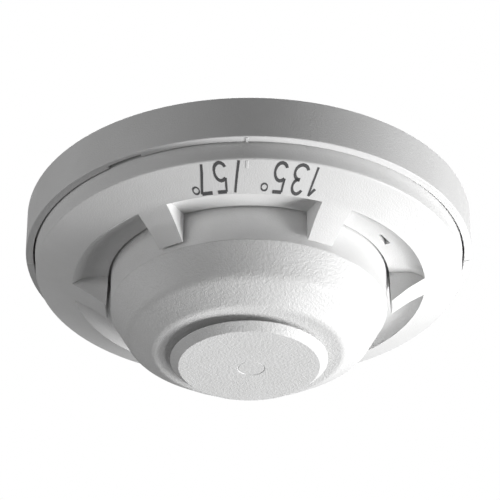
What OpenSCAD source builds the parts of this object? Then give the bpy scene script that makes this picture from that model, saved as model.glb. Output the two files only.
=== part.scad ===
// Ceiling heat detector: a rate-of-rise air chamber and a fusible fixed-temperature collector on a
// twist-on mounting bracket. +Z is up; Z = 0 is the face that lies on the ceiling, and everything hangs
// below it. Azimuths are measured from -Y, positive towards +X.

/* [Mounting bracket] */
// Outer radius of the bracket skirt
bracket_r = 58; // [56:0.5:60]
// Height of the bracket skirt
bracket_h = 11.5; // [10.5:0.1:12.5]
// Thickness of the bracket plate
bracket_plate = 2; // [1.6:0.1:2.2]
// Wall thickness of the bracket skirt
bracket_wall = 1.9; // [1.7:0.05:2]
// Radius of the wiring opening
opening_r = 25; // [24.5:0.5:27]
// Distance between the two long slots, centre to centre
slot_pitch_x = 86.1; // [85:0.1:87]
// Length of each long slot, end to end
slot_len_x = 10; // [8:0.5:10]
// Distance between the two short slots, centre to centre
slot_pitch_y = 69.9; // [69:0.1:71]
// Length of each short slot, end to end
slot_len_y = 9; // [8:0.5:9.5]
// Width of every slot
slot_w = 4.5; // [4:0.1:4.8]

/* [Cover] */
// Outer radius of the cover where it leaves the bracket
cover_r = 55.62; // [55.4:0.02:55.8]
// Radius of the cover's lower edge
edge_r = 55.2; // [54.8:0.1:55.4]
// Depth of the cover's lower edge below the ceiling
edge_z = 16.1; // [15.8:0.1:16.6]
// Radius where the recesses begin
window_r = 45.58; // [45:0.02:46]
// Depth of the cover where the recesses begin
window_z = 19.9; // [19.6:0.1:20.2]
// Radius of the opening at the ends of the spokes
cover_hole_r = 36.8; // [36.6:0.05:37.2]
// Radius of the opening at the recess floors
floor_hole_r = 36.4; // [36.3:0.05:36.6]
// Depth of the spokes at the dome
spoke_z = 26.1; // [25:0.1:26.5]
// Depth of the recess floor at the dome
floor_z = 17.5; // [17.3:0.05:17.7]
// Half of the angle that a spoke spans
spoke_half = 5.3; // [4.8:0.1:5.8]
// Number of recesses
windows = 6; // [6]

/* [Air chamber] */
// Radius of the chamber wall at the cover
chamber_r = 35.8; // [35.6:0.05:35.9]
// Radius of the chamber wall at the seam
seam_r = 35.65; // [35.5:0.05:35.8]
// Depth of the seam between wall and dome
seam_z = 26.8; // [26.5:0.1:27]
// Radius of the dome's lower shoulder
shoulder_r = 31.16; // [31:0.02:31.4]
// Depth of the dome's lower shoulder
shoulder_z = 34.78; // [34.5:0.02:35]
// Radius where the dome's cone meets its flat bottom
bottom_r = 24.2; // [24:0.1:24.4]
// Depth of the dome's flat bottom
bottom_z = 39.2; // [39:0.05:39.4]
// Thickness of the dome's sheet
dome_t = 1.1; // [1:0.05:1.2]

/* [Heat collector] */
// Radius of the collector's rim
collector_r = 20.11; // [19.8:0.01:20.4]
// Depth of the rim's sharp edge
collector_rim_z = 40.95; // [40.9:0.05:41.1]
// Radius of the collector's flat face
face_r = 18.05; // [17.8:0.05:18.3]
// Depth of the collector's flat face, the lowest point
face_z = 42.85; // [42.6:0.05:43]
// Radius of the alloy in the collector's face
alloy_r = 3.4; // [3:0.1:3.8]
// How far the alloy's well lies off the axis, along X
well_x = 0.5; // [0:0.1:0.6]
// How far the alloy's well lies off the axis, along Y
well_y = 0.85; // [0:0.05:0.9]

/* [Plunger] */
// Radius of the plunger rod
rod_r = 1.5; // [1.4:0.05:1.6]
// Outer radius of the guide tube
guide_r = 4.5; // [4.3:0.1:4.6]
// Coils in the plunger spring
spring_coils = 6; // [4:1:7]

/* [Contacts] */
// Distance from a leaf's bend line to its plunger
leaf_arm = 16; // [15:0.5:17]
// Distance from the plunger to the contact on the same leaf
contact_reach = 5; // [4:0.5:6]
// Distance from the plunger's axis to the diaphragm's axis
diaphragm_y = 17.5; // [17:0.5:18]
// Radius of the diaphragm
diaphragm_r = 11.6; // [11:0.1:11.8]

/* [Base and terminals] */
// Radius of the contact base
base_r = 46.5; // [46:0.1:46.8]
// Depth of the base's upper face
base_z = 6.6; // [6.5:0.1:6.7]
// Thickness of the base
base_t = 2; // [1.8:0.1:2.2]
// Distance of each terminal from the Y-Z plane
terminal_x = 17.5; // [17:0.1:18]
// Distance of each terminal from the X-Z plane
terminal_y = 8.5; // [8:0.1:9]
// Half of the angle that a bayonet lug spans
lug_half = 7; // [6:0.5:7.5]
// Turn between locked and released
twist_angle = 18; // [17:0.5:18]

/* [Hidden] */
$fn = 96;
big = 200;          // longer than any part
over = 0.5;         // how far a cutting tool runs past a face
free = 0.1;         // gap between flat faces of pieces that move apart

// Bracket
skirt_in = bracket_r - bracket_wall;
lip_fall = 0.3;     // how much deeper the lip's inner edge lies than its outer edge
hook_in = 50.4;     // inner radius of the bayonet hooks
hook_out = 52.2;
ledge_in = 48;
ledge_top = 6.5;    // depth of the ledges that the lugs rest on
ledge_bottom = 8.4;
ledge_half = lug_half + 1;
stop_half = 1.2;
stop_gap = 0.4;     // play between a lug and its stop, in degrees
hook_az = [for (k = [0:2]) 15 + k * 120];
pocket_z = 0.9;     // depth of the pockets in the ceiling face
lip_notch = [-31, 5];   // azimuth and half angle of the notch in the skirt's lip
tick_az = 1.1;      // azimuth of the first alignment tick
tick_half = 0.3;    // half angle of a tick
tick_up = 0.2;

// Cover
cover_top = 3.2;
cover_in = 53.95;
ledge_z = 15.9;     // depth of the cover's inner ledge, which the chamber flange rests above
cover_step = [[46.6, 17.5], [44.4, 15.9]];
boss_r = 2.4;
cover_screw_r = 41.5;
cover_screw_az = [30, 150, 270];
// azimuth and radius of each corner of the slot in one recess
release_slot = [[56.4, 39.7], [56.9, 40.6], [63.4, 40.6], [63.7, 39]];

// Chamber
flange_r = 38.6;
flange_z = 14.7;
flange_t = 1;
chamber_in = 34.15;
spigot_r = 34.1;
spigot_z = 22.3;
plate_z = 13.3;
plate_t = 1;
gasket_in = 34.6;
ear_r = 2.3;
chamber_screw_r = 41.2;
chamber_screw_az = [90, 210, 330];
boss_end = 19.6;
port_r = 8.6;
vent_xy = [-16, -14];

// Plunger
rod_cover = 0.6;    // alloy below the rod's end
well_t = 1.2;       // depth of the alloy's well
bore_gap = 0.06;
guide_end = bottom_z + 0.2;
guide_top = 12.7;
guide_flange_r = 5.6;
guide_bore_r = 3.5;
spring_seat = 34;
collar_z = 23;
collar_t = 1;
collar_r = 3.2;
spring_r = 2.55;
spring_wire_r = 0.25;
tip_r = 1.9;
nose_r = 1;
nose_z = 11.6;      // depth of the noses that lift the leaves

// Contacts
leaf_z = 11.3;      // depth of each leaf's upper face
leaf_t = 0.2;
leaf_w = 5;
anchor_len = 4;
anchor_w = 7;
contact_r = 1.2;
contact_t = 0.4;
bar_t = 0.5;
bar_w = 5;
base_under = base_z + base_t;

// Base
rim_in = 44.7;
rim_top = 4.4;
lug_out = 50;
lug_bottom = ledge_top - free;
lug_t = 1.9;
strip_t = 0.8;
strip_top = base_z - strip_t;
clamp_t = 0.8;
clamp_side = 8;
screw_head_r = 3;
screw_head_t = 1.9;
screw_r = 1.5;
m2_r = 1.2;
m2_head_r = 2.3;
m2_head_t = 1.5;
hole_gap = 0.25;
thread_gap = 0.02;
rivet_r = 1;
rivet_head_r = 1.7;
rivet_head_t = 0.6;

// ---------------------------------------------------------------- outlines

function unit(v) = v / norm(v);

// Points of an arc that rounds corner c, whose neighbours are p and q; each is [radius, height, fillet]
function corner(p, c, q, n) = c[2] == 0 ? [[c[0], c[1]]] :
    let (C = [c[0], c[1]],
         u = unit([p[0], p[1]] - C),
         w = unit([q[0], q[1]] - C),
         half = acos(u * w) / 2,
         centre = C + unit(u + w) * c[2] / sin(half),
         s = C + u * c[2] / tan(half) - centre,
         e = C + w * c[2] / tan(half) - centre,
         start = atan2(s[1], s[0]),
         turn = atan2(s[0] * e[1] - s[1] * e[0], s * e))
    [for (k = [0:n]) centre + c[2] * [cos(start + turn * k / n), sin(start + turn * k / n)]];

// Closed outline with every corner [radius, height, fillet] rounded
function rounded(v, n = 6) =
    let (m = len(v)) [for (i = [0:m - 1]) each corner(v[(i + m - 1) % m], v[i], v[(i + 1) % m], n)];

// Rectangle from [r0, z0] to [r1, z1]
module box2(r0, z0, r1, z1) polygon([[r0, z0], [r1, z0], [r1, z1], [r0, z1]]);

module turned(v, n = 6) rotate_extrude() polygon(rounded(v, n));

// Turns its child's half plane through an azimuth range
module az_sector(az, half) rotate([0, 0, az - 90 - half]) rotate_extrude(angle = 2 * half) children();

// Places its child at an azimuth and a radius
module at_az(az, r) rotate([0, 0, az - 90]) translate([r, 0, 0]) children();

// Upright cylinder between two depths below the ceiling
module post(r, top, bottom) translate([0, 0, -bottom]) cylinder(r = r, h = bottom - top);

module tube(r_out, r_in, top, bottom) difference() {
    post(r_out, top, bottom);
    post(r_in, top - over, bottom + over);
}

// Long hole through the bracket plate, exact at both ends
module slot_cut(len, w) {
    for (s = [-1, 1]) translate([s * (len - w) / 2, 0, 0]) post(w / 2, -over, bracket_plate + over);
    translate([-(len - w) / 2, -w / 2, -bracket_plate - over]) cube([len - w, w, bracket_plate + 2 * over]);
}

// Screw pointing down: head above the seat depth, cross recess in its top
module pan_screw(seat, end, r, head_r, head_t) difference() {
    union() {
        post(r, seat - 0.01, end);
        rotate_extrude() polygon(rounded([[0, -seat, 0], [head_r, -seat, 0],
                                          [head_r, -seat + head_t, head_t * 0.55], [0, -seat + head_t, 0]]));
    }
    for (a = [0, 90]) rotate([0, 0, a])
        translate([-head_r * 0.55, -head_r * 0.11, -seat + head_t * 0.45])
            cube([head_r * 1.1, head_r * 0.22, head_t]);
}

module rivet(x, y, top, bottom) translate([x, y, 0]) {
    post(rivet_r, top, bottom);
    for (z = [top, bottom - rivet_head_t]) post(rivet_head_r, z, z + rivet_head_t);
}

// ---------------------------------------------------------------- bracket

module bayonet_hook(az) {
    az_sector(az, ledge_half) polygon([
        [hook_out, -bracket_plate + 0.01], [hook_out, -ledge_bottom], [ledge_in, -ledge_bottom],
        [ledge_in, -ledge_top], [hook_in, -ledge_top], [hook_in, -bracket_plate + 0.01]]);
    // the stop that the lug turns up to, and the one at the end of its release
    az_sector(az + lug_half + stop_gap + stop_half, stop_half)
        box2(ledge_in - 0.1, -ledge_bottom - 0.1, hook_out + 0.1, -bracket_plate + 0.02);
    az_sector(az - twist_angle - lug_half - stop_gap - stop_half, stop_half)
        box2(ledge_in, -ledge_top, hook_out, -bracket_plate + 0.01);
}

module bracket_pockets() {
    for (k = [0:11]) az_sector(k * 30 + 15, 12.6) box2(49.6, -pocket_z, 55.6, over);
    for (k = [0:3]) az_sector(k * 90 + 45, 29) box2(27.2, -pocket_z, 36.8, over);
    for (k = [0:3]) az_sector(k * 90 + 45, 33) box2(38.4, -pocket_z, 48, over);
}

module mounting_bracket() color("whitesmoke") difference() {
    union() {
        turned([[opening_r, 0, 0.5], [bracket_r, 0, 0.3], [bracket_r, -bracket_h, 0.3],
                [skirt_in, -bracket_h - lip_fall, 0.15], [skirt_in, -bracket_plate, 0.8],
                [opening_r + 1.6, -bracket_plate, 0.4], [opening_r + 1.6, -3.6, 0.3],
                [opening_r, -3.6, 0.3]]);
        for (az = hook_az) bayonet_hook(az);
        for (k = [0:3]) az_sector(tick_az + k * 90, tick_half) polygon([
            [skirt_in + 0.1, -bracket_h - lip_fall + 1], [skirt_in + 0.1, -bracket_h - lip_fall - tick_up],
            [bracket_r - 0.4, -bracket_h - tick_up], [bracket_r - 0.4, -bracket_h + 1]]);
    }
    bracket_pockets();
    for (s = [-1, 1]) {
        translate([s * slot_pitch_x / 2, 0, 0]) slot_cut(slot_len_x, slot_w);
        translate([0, s * slot_pitch_y / 2, 0]) rotate([0, 0, 90]) slot_cut(slot_len_y, slot_w);
    }
    az_sector(lip_notch[0], lip_notch[1])
        box2(skirt_in - over, -bracket_h - 1, skirt_in + bracket_wall * 0.45, -bracket_h + 2);
}

// ---------------------------------------------------------------- cover

function cover_outline() = rounded([
    [cover_r, -cover_top, 0.4], [cover_r, -bracket_h, 0], [edge_r, -edge_z, 0.7],
    [window_r, -window_z, 15], [41.4, -22.45, 12], [cover_hole_r, -spoke_z, 0.2],
    [floor_hole_r, -ledge_z, 0.3], [cover_step[1][0], -cover_step[1][1], 0],
    [cover_step[0][0], -cover_step[0][1], 0], [cover_in, -14.6, 0.8], [cover_in, -cover_top, 0.4]]);

function window_outline() = rounded([
    [window_r, -window_z, 0], [42.8, -17.9, 6.5], [cover_hole_r - 2, -floor_z + 0.1, 0],
    [cover_hole_r - 2, -30, 0], [window_r, -30, 0]], 8);

module detector_cover() color("white") difference() {
    union() {
        difference() {
            rotate_extrude() polygon(cover_outline());
            for (k = [0:windows - 1]) {
                az_sector(k * 60, 30 - spoke_half) polygon(window_outline());
                az_sector(k * 60 + 30, spoke_half - 1.7)
                    polygon([[44.3, -ledge_z + over], [44.3, -18.7], [38.4, -22.9], [38.4, -ledge_z + over]]);
            }
        }
        for (az = cover_screw_az) at_az(az, cover_screw_r) post(boss_r, base_under, 20);
        az_sector(tick_az, tick_half) polygon([
            [edge_r - 2.6, -edge_z], [edge_r - 2.6, -edge_z - 1.1], [edge_r - 0.6, -edge_z - 0.3],
            [edge_r + 0.05, -edge_z + 0.3], [edge_r - 0.6, -edge_z + 0.6]]);
    }
    for (az = cover_screw_az) at_az(az, cover_screw_r) post(m2_r + thread_gap, base_under - over, 18.5);
    translate([0, 0, -30]) linear_extrude(20)
        polygon([for (p = release_slot) p[1] * [sin(p[0]), -cos(p[0])]]);
}

// ---------------------------------------------------------------- air chamber

module chamber_housing() color("white") difference() {
    union() {
        turned([[chamber_in, -flange_z, 0], [flange_r, -flange_z, 0], [flange_r, -flange_z - flange_t, 0.3],
                [chamber_r, -flange_z - flange_t, 0.4], [seam_r, -seam_z + 0.02, 0.04],
                [chamber_in, -seam_z + 0.02, 0]]);
        for (az = chamber_screw_az) {
            at_az(az, chamber_screw_r) post(ear_r, flange_z, boss_end);
            at_az(az, chamber_screw_r - 1.5) translate([-1.5, -ear_r, -flange_z - flange_t])
                cube([3, 2 * ear_r, flange_t]);
        }
    }
    for (az = chamber_screw_az) at_az(az, chamber_screw_r) post(m2_r + thread_gap, flange_z - over, 18.8);
}

module chamber_dome() color("white") turned([
    [spigot_r, -spigot_z, 0.3], [spigot_r, -seam_z, 0], [seam_r, -seam_z, 0.04],
    [shoulder_r, -shoulder_z, 5], [bottom_r, -bottom_z, 3], [guide_r + 0.1, -bottom_z, 0],
    [guide_r + 0.1, -bottom_z + dome_t, 0], [bottom_r - 0.3, -bottom_z + dome_t, 2],
    [shoulder_r - 0.72, -shoulder_z + 0.75, 4], [spigot_r - 1, -seam_z - 2.4, 0],
    [spigot_r - 1, -spigot_z, 0.3]], 8);

module chamber_gasket() color("dimgray") tube(flange_r - 0.3, gasket_in, plate_z + plate_t, flange_z);

module chamber_plate() color("dimgray") difference() {
    union() {
        post(flange_r - 0.2, plate_z, plate_z + plate_t);
        for (az = chamber_screw_az) {
            at_az(az, chamber_screw_r) post(ear_r, plate_z, plate_z + plate_t);
            at_az(az, chamber_screw_r - 2) translate([-1.5, -ear_r + 0.1, -plate_z - plate_t])
                cube([3, 2 * ear_r - 0.2, plate_t]);
        }
    }
    post(guide_r + bore_gap, plate_z - over, plate_z + plate_t + over);
    translate([0, diaphragm_y, 0]) post(port_r, plate_z - over, plate_z + plate_t + over);
    translate([vent_xy[0], vent_xy[1], 0]) post(1.85, plate_z - over, plate_z + plate_t + over);
    for (az = chamber_screw_az) at_az(az, chamber_screw_r)
        post(m2_r + hole_gap, plate_z - over, plate_z + plate_t + over);
}

// Depth of the diaphragm's upper face at radius r: flat at the rim and centre, waves between them
function wave(r) = plate_z - 0.2 + (r > 2.4 && r < port_r - 0.2 ?
    0.16 * (1 - cos((r - 2.4) / (port_r - 2.6) * 360 * 3)) : 0);

module diaphragm() color("goldenrod") translate([0, diaphragm_y, 0]) {
    radii = concat([0], [for (i = [0:24]) 2.4 + (port_r - 2.6) * i / 24], [diaphragm_r]);
    rotate_extrude() polygon(concat(
        [for (r = radii) [r, -wave(r)]],
        [for (i = [len(radii) - 1:-1:0]) [radii[i], -wave(radii[i]) - 0.19]]));
}

module diaphragm_ring() color("silver") translate([0, diaphragm_y, 0])
    tube(diaphragm_r, port_r + 0.4, plate_z - 0.9, plate_z - 0.21);

module diaphragm_button() color("white") translate([0, diaphragm_y, 0]) turned([
    [0, -nose_z, 0], [nose_r, -nose_z, 0.2], [tip_r, -nose_z - 0.5, 0], [tip_r, -plate_z + 0.21, 0],
    [0, -plate_z + 0.21, 0]], 3);

module vent_plug() color("gold") translate([vent_xy[0], vent_xy[1], 0]) difference() {
    union() {
        post(1.8, plate_z - 0.01, plate_z + 1.8);
        post(2.6, plate_z - 0.9, plate_z);
    }
    post(0.25, 0, 20);
    translate([-3, -0.25, -plate_z + 0.5]) cube([6, 0.5, 1]);
}

// ---------------------------------------------------------------- collector and plunger

module heat_collector() color("white") difference() {
    turned([
        [rod_r + 0.05, -guide_end - free, 0], [guide_r, -guide_end - free, 0.3],
        [guide_r, -collector_rim_z + 0.4, 0.5], [collector_r - 0.4, -collector_rim_z + 0.4, 0],
        [collector_r, -collector_rim_z + 0.15, 0], [collector_r, -collector_rim_z, 0.1],
        [face_r, -face_z, 0.35], [rod_r + 0.05, -face_z, 0]]);
    // the well, with a chamfered edge
    translate([well_x, well_y, 0]) rotate_extrude() polygon([
        [0, -face_z - 0.05], [alloy_r + 0.2, -face_z - 0.05], [alloy_r, -face_z + 0.15],
        [alloy_r, -face_z + well_t], [0, -face_z + well_t]]);
}

module fusible_alloy() color("white") difference() {
    translate([well_x, well_y, 0]) turned([
        [0, -face_z + well_t - 0.01, 0], [alloy_r - 0.03, -face_z + well_t - 0.01, 0],
        [alloy_r - 0.03, -face_z + 0.06, 0.15], [0, -face_z + 0.06, 0]], 3);
    translate([0, 0, -face_z + rod_cover]) cylinder(r = rod_r + 0.05, h = 2);
}

module plunger_rod() color("silver") turned([
    [0, -nose_z - 1.1, 0], [rod_r, -nose_z - 1.1, 0.2], [rod_r, -face_z + rod_cover + 0.01, 0.15],
    [0, -face_z + rod_cover + 0.01, 0]], 3);

module plunger_collar() color("silver") tube(collar_r, rod_r + thread_gap, collar_z, collar_z + collar_t);

module plunger_tip() color("ivory") difference() {
    turned([[0, -nose_z, 0], [nose_r, -nose_z, 0.2], [tip_r, -nose_z - 0.5, 0.2],
            [tip_r, -nose_z - 4, 0.2], [0, -nose_z - 4, 0]], 3);
    post(rod_r + thread_gap, nose_z + 1.09, 30);
}

// Coil spring as one swept tube
module plunger_spring() color("silver") {
    sides = 6;
    per_coil = 20;
    z0 = -spring_seat + spring_wire_r + 0.02;
    rise = spring_seat - collar_z - collar_t - 2 * spring_wire_r - 0.04;
    rings = spring_coils * per_coil;
    points = [for (i = [0:rings]) let (a = 360 * i / per_coil, z = z0 + rise * i / rings)
        for (j = [0:sides - 1]) let (b = 360 * j / sides, r = spring_r + spring_wire_r * cos(b))
            [r * cos(a), r * sin(a), z + spring_wire_r * sin(b)]];
    skin = [for (i = [0:rings - 1]) for (j = [0:sides - 1]) let (k = (j + 1) % sides, p = i * sides)
        [p + j, p + j + sides, p + k + sides, p + k]];
    ends = [[for (j = [0:sides - 1]) j], [for (j = [sides - 1:-1:0]) rings * sides + j]];
    polyhedron(points, concat(skin, ends), convexity = 10);
}

module plunger_guide() color("gold") difference() {
    union() {
        post(guide_r, guide_top, guide_end);
        post(guide_flange_r, guide_top, plate_z - 0.01);
    }
    post(rod_r + bore_gap, 0, big);
    post(guide_bore_r, 0, spring_seat);
}

// ---------------------------------------------------------------- base and contacts

module contact_base() color("linen") difference() {
    union() {
        post(base_r, base_z, base_under);
        tube(base_r, rim_in, rim_top, base_under);
        for (az = hook_az) az_sector(az, lug_half)
            box2(base_r - 1, -lug_bottom, lug_out, -lug_bottom + lug_t);
        for (az = chamber_screw_az) at_az(az, chamber_screw_r) post(ear_r + 0.6, base_z, plate_z);
        // ribs on the upper face, and the walls between the two poles
        for (k = [0:5]) at_az(k * 60, 32) translate([-6, -0.6, -base_z - 0.5]) cube([19, 1.2, 1.9]);
        for (s = [-1, 1]) translate([s * 11.2 - 0.5, -21, -base_z - 0.5]) cube([1, 25.5, 2.1]);
    }
    for (az = cover_screw_az) at_az(az, cover_screw_r) post(m2_r + hole_gap, 0, 12);
    for (az = chamber_screw_az) at_az(az, chamber_screw_r) post(m2_r + hole_gap, 0, 16);
    for (x = [-1, 1], y = [-1, 1]) translate([x * terminal_x, y * terminal_y, 0])
        post(screw_r + thread_gap, 0, 12);
    for (y = [0, diaphragm_y]) translate([-leaf_arm - 2.1, y, 0]) post(rivet_r + thread_gap, 0, 12);
    translate([contact_reach, diaphragm_y / 2, 0]) post(rivet_r + thread_gap, 0, 12);
}

module leaf_anchors() color("goldenrod") for (y = [0, diaphragm_y]) difference() {
    translate([-leaf_arm - anchor_len - free, y - anchor_w / 2, -leaf_z - leaf_t])
        cube([anchor_len, anchor_w, leaf_z + leaf_t - base_under]);
    translate([-leaf_arm - 2.1, y, 0]) post(rivet_r + thread_gap, 0, 20);
}

module leaf(y) difference() {
    translate([0, y, -leaf_z - leaf_t]) linear_extrude(leaf_t) {
        polygon([[-leaf_arm, -leaf_w / 2], [contact_reach, -leaf_w / 2 + 0.6],
                 [contact_reach, leaf_w / 2 - 0.6], [-leaf_arm, leaf_w / 2]]);
        translate([contact_reach, 0]) circle(leaf_w / 2 - 0.6);
    }
    translate([contact_reach, y, 0]) post(0.6, 0, 20);
}

// Contact rivet in a leaf: flat head above, tail below
module leaf_contact(y) translate([contact_reach, y, 0]) {
    post(contact_r, leaf_z - contact_t, leaf_z);
    post(0.59, leaf_z - 0.01, leaf_z + leaf_t + 0.01);
    post(0.9, leaf_z + leaf_t, leaf_z + leaf_t + 0.2);
}

module fixed_temp_leaf() color("peru") leaf(0);
module fixed_temp_contact() color("silver") leaf_contact(0);
module rate_leaf() color("peru") leaf(diaphragm_y);
module rate_contact() color("silver") leaf_contact(diaphragm_y);

module contact_bar() color("gold") difference() {
    translate([contact_reach - bar_w / 2, -3, -base_under - bar_t]) cube([bar_w, diaphragm_y + 6, bar_t]);
    for (y = [0, diaphragm_y]) translate([contact_reach, y, 0]) post(0.6, 0, 20);
    translate([contact_reach, diaphragm_y / 2, 0]) post(rivet_r + thread_gap, 0, 20);
}

module bar_contacts() color("silver") for (y = [0, diaphragm_y]) translate([contact_reach, y, 0]) {
    post(0.59, base_under + 0.02, base_under + bar_t + 0.01);
    post(contact_r, base_under + bar_t, base_under + bar_t + contact_t);
}

module strip_holes() {
    for (x = [-1, 1], y = [-1, 1]) translate([x * terminal_x, y * terminal_y, 0])
        post(screw_r + thread_gap, 0, 20);
    for (y = [0, diaphragm_y]) translate([-leaf_arm - 2.1, y, 0]) post(rivet_r + thread_gap, 0, 20);
    translate([contact_reach, diaphragm_y / 2, 0]) post(rivet_r + thread_gap, 0, 20);
}

module terminal_strip_a() color("gold") difference() {
    translate([-terminal_x - 5, -13, -base_z]) cube([10, diaphragm_y + 16.5, strip_t]);
    strip_holes();
}

module terminal_strip_b() color("gold") difference() {
    translate([0, 0, -base_z]) linear_extrude(strip_t)
        polygon([[terminal_x - 5, -13], [terminal_x + 5, -13], [terminal_x + 5, 13], [terminal_x - 5, 13],
                 [contact_reach - 2.5, 13], [contact_reach - 2.5, 5.5], [terminal_x - 5, 5.5]]);
    strip_holes();
}

module clamp_plates() color("silver") for (x = [-1, 1], y = [-1, 1])
    translate([x * terminal_x, y * terminal_y, 0]) difference() {
        translate([-clamp_side / 2, -clamp_side / 2, -strip_top]) {
            cube([clamp_side, clamp_side, clamp_t]);
            // turned-up ears that keep the wires under the plate
            for (e = [0, clamp_side - 0.6]) translate([0, e, 0]) cube([clamp_side, 0.6, clamp_t + 0.9]);
        }
        post(screw_r + thread_gap, 0, 20);
    }

module terminal_screws() color("lightgray") for (x = [-1, 1], y = [-1, 1])
    translate([x * terminal_x, y * terminal_y, 0])
        pan_screw(strip_top - clamp_t, base_under - 0.2, screw_r, screw_head_r, screw_head_t);

module leaf_rivets() color("gold") {
    for (y = [0, diaphragm_y])
        rivet(-leaf_arm - 2.1, y, strip_top - rivet_head_t, leaf_z + leaf_t + rivet_head_t);
    rivet(contact_reach, diaphragm_y / 2, strip_top - rivet_head_t, base_under + bar_t + rivet_head_t);
}

module cover_screws() color("silver") for (az = cover_screw_az) at_az(az, cover_screw_r)
    pan_screw(base_z, 17, m2_r, m2_head_r, m2_head_t);

module chamber_screws() color("silver") for (az = chamber_screw_az) at_az(az, chamber_screw_r)
    pan_screw(base_z, 18, m2_r, m2_head_r, m2_head_t);

// ---------------------------------------------------------------- output

mounting_bracket();
detector_cover();
chamber_housing();
chamber_dome();
heat_collector();
fusible_alloy();
plunger_rod();
plunger_collar();
plunger_tip();
plunger_spring();
plunger_guide();
chamber_gasket();
chamber_plate();
diaphragm();
diaphragm_ring();
diaphragm_button();
vent_plug();
contact_base();
leaf_anchors();
fixed_temp_leaf();
fixed_temp_contact();
rate_leaf();
rate_contact();
contact_bar();
bar_contacts();
terminal_strip_a();
terminal_strip_b();
clamp_plates();
terminal_screws();
leaf_rivets();
cover_screws();
chamber_screws();
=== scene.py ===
import math

import bpy
from mathutils import Matrix, Vector


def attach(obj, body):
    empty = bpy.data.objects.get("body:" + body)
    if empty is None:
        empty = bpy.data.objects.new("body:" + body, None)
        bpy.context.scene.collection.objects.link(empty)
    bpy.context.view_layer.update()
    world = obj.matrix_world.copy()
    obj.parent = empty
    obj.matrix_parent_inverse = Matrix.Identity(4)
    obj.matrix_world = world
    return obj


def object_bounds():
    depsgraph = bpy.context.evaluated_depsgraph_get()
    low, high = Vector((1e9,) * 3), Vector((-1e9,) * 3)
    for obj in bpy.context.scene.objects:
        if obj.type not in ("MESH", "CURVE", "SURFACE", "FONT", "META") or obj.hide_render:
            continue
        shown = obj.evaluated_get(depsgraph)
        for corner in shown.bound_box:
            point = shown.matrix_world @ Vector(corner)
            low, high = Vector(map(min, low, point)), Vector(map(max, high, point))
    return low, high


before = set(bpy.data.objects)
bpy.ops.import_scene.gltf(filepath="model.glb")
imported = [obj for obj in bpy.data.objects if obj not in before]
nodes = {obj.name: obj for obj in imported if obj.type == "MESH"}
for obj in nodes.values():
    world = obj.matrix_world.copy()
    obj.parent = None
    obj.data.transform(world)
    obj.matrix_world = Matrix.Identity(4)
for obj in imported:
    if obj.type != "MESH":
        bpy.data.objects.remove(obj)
cad_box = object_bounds()
MM = 0.001


# ---------------------------------------------------------------- material helpers

class Nodes:
    """Short names for building one procedural material."""

    def __init__(self, name):
        self.mat = bpy.data.materials.new(name)
        self.mat.use_nodes = True
        self.tree = self.mat.node_tree
        self.shader = self.tree.nodes["Principled BSDF"]
        self.coords = self.add("ShaderNodeTexCoord").outputs["Object"]

    def add(self, kind, **values):
        """A new node with these properties."""
        node = self.tree.nodes.new(kind)
        for key, value in values.items():
            setattr(node, key, value)
        return node

    def link(self, source, target):
        self.tree.links.new(source, target)

    def stretched(self, scale):
        """The object's coordinates, multiplied along each axis."""
        mapping = self.add("ShaderNodeMapping")
        mapping.inputs["Scale"].default_value = scale
        self.link(self.coords, mapping.inputs["Vector"])
        return mapping.outputs["Vector"]

    def noise(self, scale, detail=3.0, rough=0.5, vector=None):
        """Noise whose scale is given in features per metre."""
        node = self.add("ShaderNodeTexNoise")
        node.inputs["Scale"].default_value = scale
        node.inputs["Detail"].default_value = detail
        node.inputs["Roughness"].default_value = rough
        self.link(vector or self.coords, node.inputs["Vector"])
        return node.outputs["Fac"]

    def ramp(self, value, low, high, start=0.35, end=0.65):
        """Maps a 0 to 1 value to a colour between two colours."""
        node = self.add("ShaderNodeValToRGB")
        first, last = node.color_ramp.elements
        first.position, last.position = start, end
        first.color, last.color = (*low, 1), (*high, 1)
        self.link(value, node.inputs["Fac"])
        return node.outputs["Color"]

    def span(self, value, low, high, start=0.3, end=0.7):
        """Maps a 0 to 1 value to a number between two numbers."""
        node = self.add("ShaderNodeMapRange")
        for key, number in (("From Min", start), ("From Max", end), ("To Min", low), ("To Max", high)):
            node.inputs[key].default_value = number
        self.link(value, node.inputs["Value"])
        return node.outputs["Result"]

    def mix(self, factor, a, b):
        """A colour between two others, each a socket or fixed."""
        node = self.add("ShaderNodeMix", data_type="RGBA")
        for socket, value in ((node.inputs["Factor"], factor), (node.inputs["A"], a), (node.inputs["B"], b)):
            if isinstance(value, bpy.types.NodeSocket):
                self.link(value, socket)
            elif isinstance(value, tuple):
                socket.default_value = (*value, 1)
            else:
                socket.default_value = value
        return node.outputs["Result"]

    def soft_edges(self, radius):
        """Normals as if every sharp edge had this radius."""
        node = self.add("ShaderNodeBevel", samples=6)
        node.inputs["Radius"].default_value = radius
        return node.outputs["Normal"]

    def bump(self, height, distance, strength=1.0, normal=None):
        """Normals that follow a 0 to 1 height, which stands for this distance."""
        node = self.add("ShaderNodeBump")
        node.inputs["Strength"].default_value = strength
        node.inputs["Distance"].default_value = distance
        self.link(height, node.inputs["Height"])
        if normal is not None:
            self.link(normal, node.inputs["Normal"])
        return node.outputs["Normal"]

    def out(self, color, roughness, normal=None, **fixed):
        """Links what varies to the shader, and sets what is the same all over on its sockets."""
        for key, value in (("Base Color", color), ("Roughness", roughness), ("Normal", normal)):
            if value is not None:
                self.link(value, self.shader.inputs[key])
        for key, value in fixed.items():
            self.shader.inputs[key.replace("_", " ")].default_value = value
        return self.mat


def darker(color, share):
    """The colour with each channel cut to this share."""
    return tuple(channel * share for channel in color)


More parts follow.
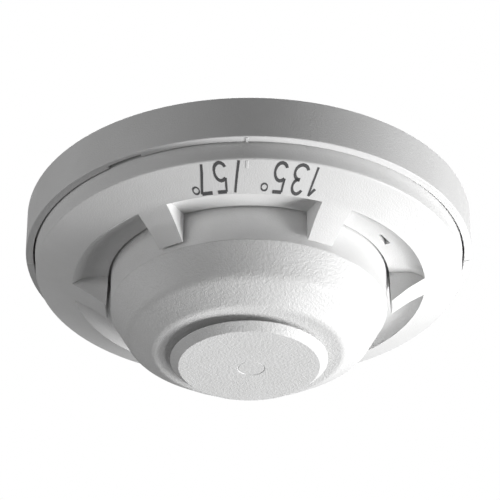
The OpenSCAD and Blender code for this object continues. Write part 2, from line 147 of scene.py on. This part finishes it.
def moulded_plastic(name, light, dark, gloss, edge=0.12 * MM):
    """Moulded thermoplastic: faint flow mottling, fine spark-eroded texture, soft edges."""
    n = Nodes(name)
    mottle = n.noise(60, 4, 0.6)
    fine = n.noise(2600, 2, 0.5)
    wear = n.noise(420, 5, 0.65)
    color = n.mix(n.span(wear, 0.0, 0.12), n.ramp(mottle, dark, light), darker(dark, 0.9))
    waves = n.bump(mottle, 0.25 * MM, 0.10, n.soft_edges(edge))
    return n.out(color, n.span(wear, gloss - 0.05, gloss + 0.07), n.bump(fine, 0.075 * MM, 1.0, waves))


def grained_paint(name, light, dark, gloss, grain, edge=0.15 * MM):
    """Thick sprayed paint on metal: an orange-peel grain with finer pits in it."""
    n = Nodes(name)
    peel = n.noise(1350, 2, 0.45)
    pits = n.noise(3000, 2, 0.5)
    mottle = n.noise(75, 4, 0.6)
    pit_share = 0.8
    both = n.add("ShaderNodeMath", operation="MULTIPLY_ADD")
    n.link(pits, both.inputs[0])
    both.inputs[1].default_value = pit_share
    n.link(peel, both.inputs[2])
    # where the orange peel dips, the colour is painted up to a tenth of the way darker: painted shade in the
    # grain's hollows, on top of the bump's own shading
    color = n.mix(n.span(peel, 0.10, 0.0), n.ramp(mottle, dark, light), darker(dark, 0.8))
    return n.out(color, n.span(pits, gloss - 0.05, gloss + 0.08),
                 n.bump(both.outputs["Value"], grain, 1.0, n.soft_edges(edge)))


def metal(name, light, dark, gloss, stretch=(1, 1, 1), tarnish=0.25, edge=0.08 * MM):
    """Plated or rolled metal: fine drawn lines, and a tarnish that lies in patches."""
    n = Nodes(name)
    lines = n.noise(900, 3, 0.6, n.stretched(stretch))
    patches = n.noise(260, 5, 0.7)
    color = n.mix(n.span(patches, 0.0, tarnish), n.ramp(lines, dark, light), darker(dark, 0.45))
    return n.out(color, n.span(patches, gloss - 0.08, gloss + 0.14),
                 n.bump(lines, 0.01 * MM, 0.5, n.soft_edges(edge)), Metallic=1.0)


def dull(name, light, dark, gloss, scale, depth):
    """Rubber, phenolic board and ink: matt, with a visible filler."""
    n = Nodes(name)
    filler = n.noise(scale, 5, 0.7)
    return n.out(n.ramp(filler, dark, light), n.span(filler, gloss + 0.08, gloss - 0.05),
                 n.bump(filler, depth, 0.7))


# ---------------------------------------------------------------- materials, one for each slot

WHITE = (0.80, 0.80, 0.80)
OFF_WHITE = (0.765, 0.765, 0.762)

slot_material = {
    "white_plastic": moulded_plastic("white_plastic", WHITE, OFF_WHITE, 0.42),
    "white_paint": grained_paint("white_paint", WHITE, OFF_WHITE, 0.42, 0.13 * MM),
    "alloy_paint": grained_paint("alloy_paint", (0.79, 0.79, 0.79), (0.75, 0.75, 0.747), 0.40, 0.11 * MM,
                                 0.1 * MM),
    "base_plastic": moulded_plastic("base_plastic", (0.71, 0.68, 0.60), (0.64, 0.61, 0.53), 0.45),
    "black_plastic": moulded_plastic("black_plastic", (0.035, 0.035, 0.037), (0.022, 0.022, 0.024), 0.45),
    "insulator": moulded_plastic("insulator", (0.62, 0.55, 0.38), (0.52, 0.45, 0.30), 0.40, 0.1 * MM),
    "seal_rubber": dull("seal_rubber", (0.05, 0.05, 0.05), (0.02, 0.02, 0.02), 0.70, 1500, 0.03 * MM),
    "steel": metal("steel", (0.60, 0.60, 0.60), (0.46, 0.46, 0.46), 0.32, (1, 1, 0.1)),
    "zinc_steel": metal("zinc_steel", (0.72, 0.72, 0.70), (0.56, 0.57, 0.58), 0.34),
    "brass": metal("brass", (0.80, 0.62, 0.32), (0.66, 0.48, 0.22), 0.30, (0.15, 1, 1)),
    "bronze": metal("bronze", (0.74, 0.50, 0.32), (0.60, 0.38, 0.22), 0.30, (0.15, 1, 1)),
    "silver": metal("silver", (0.85, 0.85, 0.84), (0.72, 0.72, 0.71), 0.22, tarnish=0.12),
}
ink = dull("marking_ink", (0.105, 0.105, 0.108), (0.07, 0.07, 0.073), 0.55, 2500, 0.01 * MM)

for obj in nodes.values():
    # each CAD piece comes with one material, named after its slot
    slot = obj.data.materials[0].name.split(".")[0]
    obj.data.materials[0] = slot_material[slot]


# ---------------------------------------------------------------- rating marks on the cover

GLYPH_W = 3.1 * MM
GLYPH_H = 8.1 * MM
STROKE = 0.5 * MM           # width of a stroke that points outwards
BROAD = 0.9                 # how much wider a stroke is that runs along the band
RING_SHARE = 0.5            # width of a degree ring's stroke, as a share of STROKE
PIECE = 0.5 * MM            # longest straight piece of a stroke
MARK_R = 50.4 * MM          # radius of the middle of the marks
MARK_START = 20.1           # azimuth of the first numeral, in degrees
MARK_STEP = 4.75            # degrees from one numeral to the next
RAISE = 0.05 * MM           # how far the ink stands off the cover
SINK = 0.05 * MM            # how far it reaches into it


def arc(cx, cy, rx, ry, start, end, steps=14):
    """Points of an ellipse's arc in glyph units, from one angle to another in degrees."""
    turn = [math.radians(start + (end - start) * k / steps) for k in range(steps + 1)]
    return [(cx + rx * math.cos(t), cy + ry * math.sin(t)) for t in turn]


# Each glyph is a list of lines; x runs 0 to 1 over its width, y runs 0 at its foot to 1 at its top
GLYPHS = {
    "1": [[(0.24, 0.74), (0.62, 1.0)], [(0.62, 1.0), (0.62, 0.0)]],
    "3": [arc(0.46, 0.75, 0.44, 0.25, 155, -90) + arc(0.46, 0.26, 0.50, 0.26, 90, -155)],
    "5": [[(0.92, 1.0), (0.16, 1.0)], [(0.16, 1.0), (0.10, 0.53)],
          [(0.10, 0.53)] + arc(0.46, 0.31, 0.46, 0.31, 125, -150)],
    "7": [[(0.04, 1.0), (0.96, 1.0)], [(0.96, 1.0), (0.72, 0.62), (0.52, 0.3), (0.40, 0.0)]],
    "/": [[(0.28, -0.04), (0.72, 1.04)]],
    "o": [arc(0.5, 0.86, 0.26, 0.12, 0, 360, 24)],
}
# The marks in order, each with its place counted in steps from the first; "o" is a degree ring
LINE = [("1", 0), ("3", 0.95), ("5", 2.1), ("o", 2.95), ("/", 4.6), ("5", 5.55), ("7", 6.55), ("o", 7.2)]


def divided(points):
    """The same line with extra points, so that no piece of it is longer than PIECE."""
    line = [points[0]]
    for a, b in zip(points, points[1:]):
        parts = max(1, math.ceil(math.dist(a, b) / PIECE))
        line += [(a[0] + (b[0] - a[0]) * k / parts, a[1] + (b[1] - a[1]) * k / parts)
                 for k in range(1, parts + 1)]
    return line


def ribbon(line, width, ring):
    """Left and right edges of a line of this width, which may be a closed ring."""
    edges = []
    last = len(line) - 1
    for i, (x, y) in enumerate(line):
        before = line[i - 1] if i or ring else line[0]
        after = line[i + 1] if i < last else line[0 if ring else -1]
        dx, dy = after[0] - before[0], after[1] - before[1]
        length = math.hypot(dx, dy)
        half = width / 2 * (1 + BROAD * abs(dx) / length)
        nx, ny = -dy / length * half, dx / length * half
        edges.append(((x + nx, y + ny), (x - nx, y - ny)))
    return edges


def on_cover(u, v):
    """A point of the cover's lower face: u metres along the marks, v metres out from their middle."""
    radius = MARK_R + v
    azimuth = u / MARK_R
    start = Vector((radius * math.sin(azimuth), -radius * math.cos(azimuth), -200 * MM))
    hit, place, normal, _ = nodes["detector_cover"].ray_cast(start, Vector((0, 0, 1)))
    if not hit:
        raise ValueError("the marks miss the cover")
    return place, normal


def rating_marks():
    """Raised ink strokes that follow the cone, with their feet outwards."""
    vertices, faces = [], []
    for glyph, place in LINE:
        # read from below, the first numeral is at the right
        centre = math.radians(MARK_START - place * MARK_STEP) * MARK_R
        width = STROKE * (RING_SHARE if glyph == "o" else 1.0)
        for points in GLYPHS[glyph]:
            flat = [(centre - (x - 0.5) * GLYPH_W, (0.5 - y) * GLYPH_H) for x, y in points]
            line = divided(flat)
            ring = math.dist(line[0], line[-1]) < 0.001 * MM
            if ring:
                line.pop()
            rows = []       # the four corners of each cross-section
            for pair in ribbon(line, width, ring):
                row = []
                for u, v in pair:
                    place_on, normal = on_cover(u, v)
                    for lift in (RAISE, -SINK):
                        row.append(len(vertices))
                        vertices.append(place_on + normal * lift)
                rows.append(row)
            for a, b in zip(rows, rows[1:] + rows[:1] if ring else rows[1:]):
                faces += [(a[i], a[j], b[j], b[i]) for i, j in ((1, 0), (3, 1), (2, 3), (0, 2))]
            if not ring:
                faces += [[rows[0][i] for i in (0, 1, 3, 2)], [rows[-1][i] for i in (2, 3, 1, 0)]]
    mesh = bpy.data.meshes.new("rating_marks")
    mesh.from_pydata(vertices, [], faces)
    mesh.validate()
    piece = bpy.data.objects.new("rating_marks", mesh)
    bpy.context.scene.collection.objects.link(piece)
    mesh.materials.append(ink)
    return piece


marks = rating_marks()
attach(marks, "detector")


# ---------------------------------------------------------------- camera, lights and floor

VIEW_AZIMUTH = math.radians(1.4)
VIEW_RISE = math.radians(31.678)
VIEW_ROLL = math.radians(-0.222)
VIEW_DISTANCE = 650 * MM
VIEW_ASIDE = 0.34 * MM
LENS = 178.9                # in millimetres, on a sensor of 36 mm
TARGET_DEPTH = 0.1846       # depth of the point that camera and lights face, as a share of the height
low, high = cad_box
target = Vector((0, 0, -TARGET_DEPTH * (high[2] - low[2])))

right = Vector((math.cos(VIEW_AZIMUTH), math.sin(VIEW_AZIMUTH), 0))
forward = Vector((-math.sin(VIEW_AZIMUTH) * math.cos(VIEW_RISE),
                  math.cos(VIEW_AZIMUTH) * math.cos(VIEW_RISE), math.sin(VIEW_RISE)))
up = right.cross(forward)
turned_right = right * math.cos(VIEW_ROLL) + up * math.sin(VIEW_ROLL)
turned_up = up * math.cos(VIEW_ROLL) - right * math.sin(VIEW_ROLL)

camera = bpy.data.objects.new("camera", bpy.data.cameras.new("camera"))
bpy.context.scene.collection.objects.link(camera)
camera.data.lens = LENS
camera.data.sensor_width = 36
axes = Matrix((turned_right, turned_up, -forward)).transposed().to_4x4()
camera.matrix_world = Matrix.Translation(right * VIEW_ASIDE + target - forward * VIEW_DISTANCE) @ axes
bpy.context.scene.camera = camera
bpy.context.scene.view_settings.view_transform = "Standard"


def soft_light(name, place, size, watts):
    """A square lamp that faces the object and isn't seen itself."""
    lamp = bpy.data.lights.new(name, "AREA")
    lamp.shape = "SQUARE"
    lamp.size = size
    lamp.energy = watts
    obj = bpy.data.objects.new(name, lamp)
    bpy.context.scene.collection.objects.link(obj)
    obj.location = place
    obj.rotation_euler = (target - place).to_track_quat("-Z", "Y").to_euler()
    obj.visible_camera = False


def around(azimuth, rise, distance):
    """A place at this azimuth from -Y towards +X, this far above the object's level in degrees."""
    turn, tilt = math.radians(azimuth), math.radians(rise)
    return target + distance * Vector((math.sin(turn) * math.cos(tilt), -math.cos(turn) * math.cos(tilt),
                                       math.sin(tilt)))


soft_light("key_low", around(90, -20, 0.70), 0.20, 1.0)
soft_light("key_side", around(90, -32, 0.70), 0.20, 3.7)
soft_light("key_far", around(110, -32, 0.70), 0.20, 1.4)
soft_light("key_under", around(110, -50, 0.70), 0.20, 1.0)
soft_light("fill_left", around(270, -10, 0.90), 0.35, 1.0)
soft_light("fill_front", around(315, -10, 0.90), 0.35, 1.3)
soft_light("fill_above", around(180, 60, 1.3), 1.1, 15.0)

# the camera sees a white backdrop, while the object gets only a little light from all round
WHITE_LEVEL = 1.0
AMBIENT_LEVEL = 0.12
world = bpy.data.worlds.new("studio")
bpy.context.scene.world = world
world.use_nodes = True
tree = world.node_tree
backdrop = tree.nodes["Background"]
ambient = tree.nodes.new("ShaderNodeBackground")
path = tree.nodes.new("ShaderNodeLightPath")
choose = tree.nodes.new("ShaderNodeMixShader")
for node, level in ((backdrop, WHITE_LEVEL), (ambient, AMBIENT_LEVEL)):
    node.inputs["Color"].default_value = (1, 1, 1, 1)
    node.inputs["Strength"].default_value = level
tree.links.new(path.outputs["Is Camera Ray"], choose.inputs["Fac"])
tree.links.new(ambient.outputs["Background"], choose.inputs[1])
tree.links.new(backdrop.outputs["Background"], choose.inputs[2])
tree.links.new(choose.outputs["Shader"], tree.nodes["World Output"].inputs["Surface"])


FLOOR_HALF = 9.0            # half the floor's side, in metres
FLOOR_Z = -1.5


def floor():
    """A wide pale floor, well below the detector, that glows faintly and lights nothing."""
    mesh = bpy.data.meshes.new("floor")
    corners = ((-1, -1), (1, -1), (1, 1), (-1, 1))
    mesh.from_pydata([(x * FLOOR_HALF, y * FLOOR_HALF, FLOOR_Z) for x, y in corners], [], [(0, 1, 2, 3)])
    obj = bpy.data.objects.new("floor", mesh)
    bpy.context.scene.collection.objects.link(obj)
    n = Nodes("floor_paint")
    grain = n.noise(3, 4, 0.6)
    mesh.materials.append(n.out(n.ramp(grain, (0.80, 0.80, 0.79), (0.84, 0.84, 0.83)), n.span(grain, 0.6, 0.75),
                                Emission_Color=(1.0, 1.0, 0.99, 1.0), Emission_Strength=0.62))
    obj.visible_diffuse = False
    obj.visible_glossy = False
    return obj


floor()
